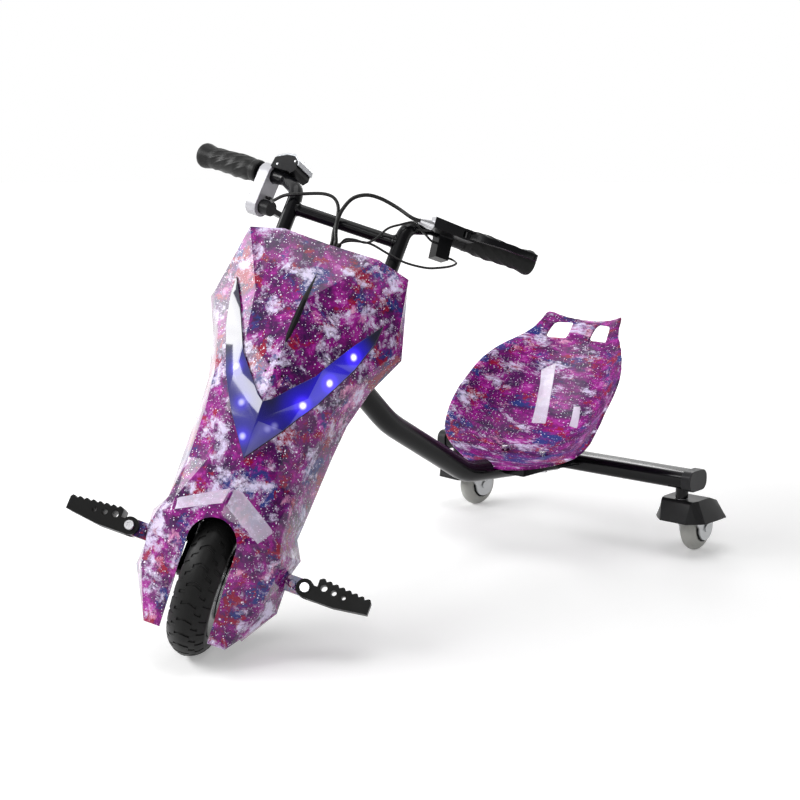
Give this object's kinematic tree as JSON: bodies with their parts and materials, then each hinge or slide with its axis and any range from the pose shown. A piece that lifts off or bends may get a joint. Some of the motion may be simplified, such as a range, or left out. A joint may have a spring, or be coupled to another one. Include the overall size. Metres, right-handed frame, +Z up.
{
  "type": "electric drift trike",
  "caption": "Child's electric drift trike: steered hub-motor front wheel in a moulded housing with a light, bent main tube, low bucket seat and rear crossbar on swivelling casters.",
  "frame": {"origin": "on the ground under the middle of the bounding box", "axes": "+Z up, -Y the way the trike drives forwards, +X towards the rider's left; stored with the front end steered to the rider's left"},
  "size_m": [0.5192, 0.9426, 0.6084],
  "materials": {
    "black_paint": "gloss black paint",
    "printed_plastic": "gloss moulded plastic with a violet and magenta night-sky print",
    "black_plastic": "satin black plastic",
    "grey_plastic": "dark grey plastic",
    "light_grey_plastic": "light grey plastic",
    "clear_plastic": "clear plastic",
    "blue_lens": "dark blue tinted lens",
    "rubber": "matt black rubber",
    "tyre_rubber": "black tread rubber",
    "polyurethane": "pale polyurethane",
    "steel": "bright plated steel",
    "board": "green circuit board",
    "battery_wrap": "blue wrapped cells"
  },
  "bodies": {
    "frame": {"head_tube": "black_paint", "lower_bearing": "steel", "upper_bearing": "steel", "main_tube": "black_paint", "crossbar": "black_paint", "end_cap_left": "grey_plastic", "end_cap_right": "grey_plastic", "seat_bracket": "black_paint", "seat_shell": "printed_plastic", "seat_bolt_left": "steel", "seat_bolt_right": "steel", "caster_stem_left": "black_paint", "caster_stem_right": "black_paint"},
    "steering": {"steerer_tube": "black_paint", "steerer_nut": "steel", "fork": "black_paint", "front_shell": "printed_plastic", "rear_cover": "black_plastic", "light_lens": "blue_lens", "light_board": "board", "slit_insert": "black_plastic", "speaker": "black_plastic", "battery_pack": "battery_wrap", "motor_controller": "steel", "charge_port": "black_plastic", "handlebar": "black_paint", "brake_cable": "rubber", "throttle_wire": "rubber", "switch_wires": "rubber", "cable_grommet": "rubber", "peg_bracket_left": "printed_plastic", "peg_bracket_right": "printed_plastic", "peg_bolt_left": "steel", "peg_bolt_right": "steel", "motor_axle": "steel", "brake_plate": "steel", "axle_nut_left": "steel", "axle_nut_right": "steel", "grip_left": "rubber", "switch_box": "black_plastic", "brake_perch": "black_plastic", "grip_right": "rubber", "throttle_body": "light_grey_plastic", "indicator_pod": "black_plastic", "indicator_lens": "clear_plastic"},
    "front_wheel": {"tyre": "tyre_rubber", "motor_case": "black_paint"},
    "peg_left": {"peg_left": "black_plastic"},
    "peg_right": {"peg_right": "black_plastic"},
    "brake_lever": {"brake_lever": "black_paint"},
    "throttle_lever": {"throttle_lever": "black_plastic"},
    "horn_button": {"horn_button": "light_grey_plastic"},
    "caster_left": {"caster_fork_left": "steel", "caster_fender_left": "grey_plastic"},
    "caster_wheel_left": {"caster_tread_left": "polyurethane", "caster_hub_left": "black_plastic"},
    "caster_right": {"caster_fork_right": "steel", "caster_fender_right": "grey_plastic"},
    "caster_wheel_right": {"caster_tread_right": "polyurethane", "caster_hub_right": "black_plastic"}
  },
  "joints": [
    {"name": "steering", "type": "hinge", "parent": "frame", "child": "steering", "pos_m": [-0.00091, -0.17625, 0.3733], "axis": [0, 0.4963, 0.8681], "range_deg": [-88, 12]},
    {"name": "front_wheel_spin", "type": "hinge", "parent": "steering", "child": "front_wheel", "pos_m": [0.017, -0.36088, 0.09632], "axis": [0.7864, 0.5363, -0.3066], "continuous": true},
    {"name": "peg_left_fold", "type": "hinge", "parent": "steering", "child": "peg_left", "pos_m": [0.10985, -0.29703, 0.08411], "axis": [0.6177, -0.6827, 0.3903], "range_deg": [0, 70]},
    {"name": "peg_right_fold", "type": "hinge", "parent": "steering", "child": "peg_right", "pos_m": [-0.06473, -0.41608, 0.15217], "axis": [-0.6177, 0.6827, -0.3903], "range_deg": [0, 70]},
    {"name": "brake_lever_pull", "type": "hinge", "parent": "steering", "child": "brake_lever", "pos_m": [0.1176, -0.01066, 0.49012], "axis": [0.0389, 0.3398, 0.9397], "range_deg": [0, 13], "stiffness_Nm_per_rad": 0.6, "springref_deg": -11.46},
    {"name": "throttle_push", "type": "hinge", "parent": "steering", "child": "throttle_lever", "pos_m": [-0.08655, -0.15676, 0.5221], "axis": [-0.9748, -0.0788, 0.2087], "range_deg": [0, 45], "stiffness_Nm_per_rad": 0.15, "springref_deg": -17.19},
    {"name": "horn_button_press", "type": "slide", "parent": "steering", "child": "horn_button", "axis": [-0.9156, 0.3491, -0.1996], "range_m": [0, 0.0022], "stiffness_N_per_m": 600, "springref_m": -0.001},
    {"name": "caster_left_swivel", "type": "hinge", "parent": "frame", "child": "caster_left", "pos_m": [0.21559, 0.38203, 0], "axis": [0, 0, 1], "continuous": true},
    {"name": "caster_left_spin", "type": "hinge", "parent": "caster_left", "child": "caster_wheel_left", "pos_m": [0.21559, 0.42703, 0.0365], "axis": [1, 0, 0], "continuous": true},
    {"name": "caster_right_swivel", "type": "hinge", "parent": "frame", "child": "caster_right", "pos_m": [-0.21741, 0.38203, 0], "axis": [0, 0, 1], "continuous": true},
    {"name": "caster_right_spin", "type": "hinge", "parent": "caster_right", "child": "caster_wheel_right", "pos_m": [-0.21271, 0.42678, 0.0365], "axis": [0.9945, -0.1045, 0], "continuous": true}
  ]
}
